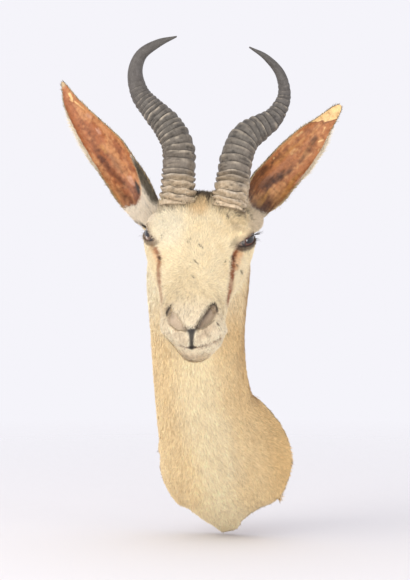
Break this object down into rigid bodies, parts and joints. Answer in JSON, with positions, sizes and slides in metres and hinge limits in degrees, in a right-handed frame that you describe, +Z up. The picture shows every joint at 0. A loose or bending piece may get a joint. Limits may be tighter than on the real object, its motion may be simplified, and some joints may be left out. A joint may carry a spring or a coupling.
{
  "type": "springbok head wall mount",
  "caption": "Springbok head and neck mounted for a wall, with ringed lyre horns, upright cupped ears, glass eyes and short cream and tan hair on a flat back board.",
  "frame": {"origin": "middle of the back board's rear face, on the wall", "axes": "+Y into the wall, +Z up, +X towards the animal's left"},
  "size_m": [0.3234, 0.3116, 0.6109],
  "materials": {
    "skin": "short cream and tan hair",
    "horn": "ringed grey-brown horn",
    "ear": "dried red-brown ear skin",
    "eye": "polished dark brown glass",
    "board": "plain sawn softwood"
  },
  "bodies": {
    "root": {"head_and_neck": "skin", "left_horn": "horn", "right_horn": "horn", "left_ear": "ear", "right_ear": "ear", "left_eye": "eye", "right_eye": "eye", "back_board": "board"}
  },
  "joints": []
}
